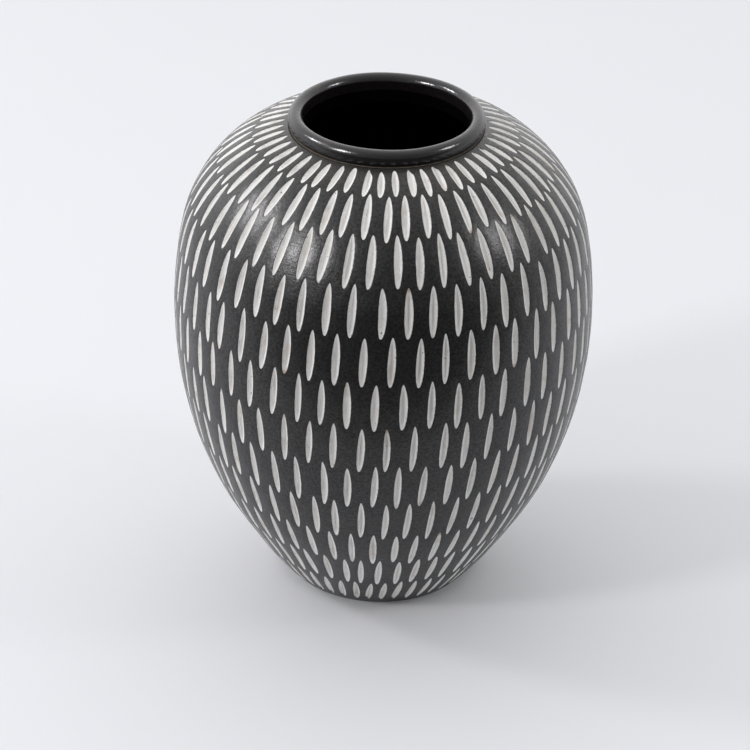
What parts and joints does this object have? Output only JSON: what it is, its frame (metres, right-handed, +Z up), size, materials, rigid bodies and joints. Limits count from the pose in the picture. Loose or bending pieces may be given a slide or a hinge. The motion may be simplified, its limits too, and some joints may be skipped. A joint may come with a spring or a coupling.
{
  "type": "carved round-shouldered vase",
  "caption": "Tall round-shouldered clay vase with a small rolled lip, coated in black slip with rows of pointed cuts showing the white clay.",
  "frame": {"origin": "middle of the foot, on the surface the vase stands on", "axes": "+Z up along the vase's axis of turning; X and Y are horizontal, -Y is the side seen first"},
  "size_m": [0.2226, 0.2226, 0.2716],
  "materials": {
    "white_clay": "bare fired clay, matt, slightly chalky, off-white",
    "black_slip": "charcoal black slip, satin, with fine turning lines",
    "rim_glaze": "dark glaze over the lip, soft gloss",
    "inner_glaze": "deep black gloss glaze"
  },
  "bodies": {
    "root": {"base_slab": "white_clay", "clay_wall": "white_clay", "rim_coil": "white_clay", "slip_coat": "black_slip", "rim_glaze": "rim_glaze", "inner_glaze": "inner_glaze"}
  },
  "joints": []
}
